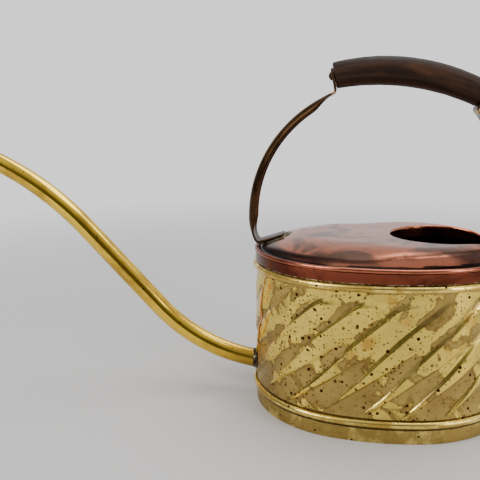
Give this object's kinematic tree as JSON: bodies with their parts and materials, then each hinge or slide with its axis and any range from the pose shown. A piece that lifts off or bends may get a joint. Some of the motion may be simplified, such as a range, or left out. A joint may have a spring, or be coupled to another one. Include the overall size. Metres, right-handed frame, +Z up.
{
  "type": "watering can",
  "caption": "Oval brass watering can with a domed copper top, long bent spout and a hoop handle of brass straps with a turned wooden grip",
  "frame": {"origin": "centre of the plane that the foot rests on", "axes": "+Z up; +X from the spout towards the rear of the can, so the spout points along -X; the handle lies in the XZ plane"},
  "size_m": [0.4682, 0.156, 0.2487],
  "materials": {
    "brass_wall": "polished ridges over stained, pitted brass",
    "brass_aged": "dull aged brass",
    "brass_bright": "rubbed bright brass",
    "brass_spout": "drawn brass, light tarnish",
    "strap_brass": "dark tarnished brass, bright edges",
    "screw_brass": "dull brass",
    "copper_top": "rubbed copper with cloudy tarnish",
    "copper_dark": "dark red copper",
    "solder": "soft solder, dull",
    "solder_dark": "oxidised solder",
    "grip_wood": "dark varnished wood"
  },
  "bodies": {
    "root": {"foot_ring": "brass_aged", "base_plate": "brass_aged", "body_wall": "brass_wall", "lower_bead": "brass_bright", "upper_bead": "brass_bright", "copper_band": "copper_dark", "rolled_ridge": "copper_dark", "copper_dome": "copper_top", "top_solder": "solder", "spout_tube": "brass_spout", "spout_solder": "solder_dark", "front_strap": "strap_brass", "rear_strap": "strap_brass", "front_foot_solder": "solder_dark", "rear_foot_solder": "solder_dark", "wooden_grip": "grip_wood", "front_screw": "screw_brass", "rear_screw": "screw_brass"}
  },
  "joints": []
}
